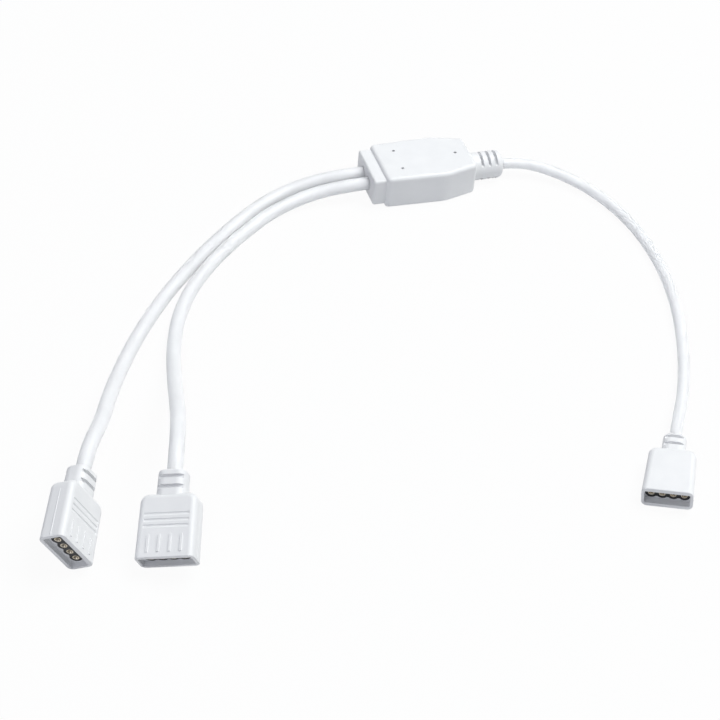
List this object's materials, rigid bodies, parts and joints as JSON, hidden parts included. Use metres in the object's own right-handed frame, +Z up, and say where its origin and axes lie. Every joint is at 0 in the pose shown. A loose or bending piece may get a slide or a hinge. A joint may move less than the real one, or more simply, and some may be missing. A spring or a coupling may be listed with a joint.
{
  "type": "rgb splitter cable",
  "caption": "White splitter cable for colour LED strips: an input lead and branch leads, each with a moulded four-way socket, joined in a moulded hub with a slotted strain relief.",
  "frame": {"origin": "middle of the hub's base, on the floor", "axes": "+X along the hub from the collar with the branch leads to the strain relief of the input lead, +Z up"},
  "size_m": [0.181, 0.1449, 0.0161],
  "materials": {
    "moulding": "satin white moulding",
    "jacket": "smooth white jacket",
    "socket_block": "satin black moulding",
    "contact": "plated",
    "core": "bare copper",
    "board": "laminate",
    "bus_strip": "tinned copper"
  },
  "bodies": {
    "root": {"branch_lead_a": "jacket", "branch_lead_b": "jacket", "bus_strip_blue": "bus_strip", "bus_strip_green": "bus_strip", "bus_strip_power": "bus_strip", "bus_strip_red": "bus_strip", "contact_branch_a_1": "contact", "contact_branch_a_2": "contact", "contact_branch_a_3": "contact", "contact_branch_a_4": "contact", "contact_branch_b_1": "contact", "contact_branch_b_2": "contact", "contact_branch_b_3": "contact", "contact_branch_b_4": "contact", "contact_input_1": "contact", "contact_input_2": "contact", "contact_input_3": "contact", "contact_input_4": "contact", "core_branch_a_1": "core", "core_branch_a_2": "core", "core_branch_a_3": "core", "core_branch_a_4": "core", "core_branch_b_1": "core", "core_branch_b_2": "core", "core_branch_b_3": "core", "core_branch_b_4": "core", "core_input_1": "core", "core_input_2": "core", "core_input_3": "core", "core_input_4": "core", "hub_body": "moulding", "hub_core_branch_a_blue": "core", "hub_core_branch_a_green": "core", "hub_core_branch_a_power": "core", "hub_core_branch_a_red": "core", "hub_core_branch_b_blue": "core", "hub_core_branch_b_green": "core", "hub_core_branch_b_power": "core", "hub_core_branch_b_red": "core", "hub_core_input_blue": "core", "hub_core_input_green": "core", "hub_core_input_power": "core", "hub_core_input_red": "core", "input_lead": "jacket", "junction_board": "board", "shell_branch_a": "moulding", "shell_branch_b": "moulding", "shell_input": "moulding", "socket_block_branch_a": "socket_block", "socket_block_branch_b": "socket_block", "socket_block_input": "socket_block"}
  },
  "joints": []
}
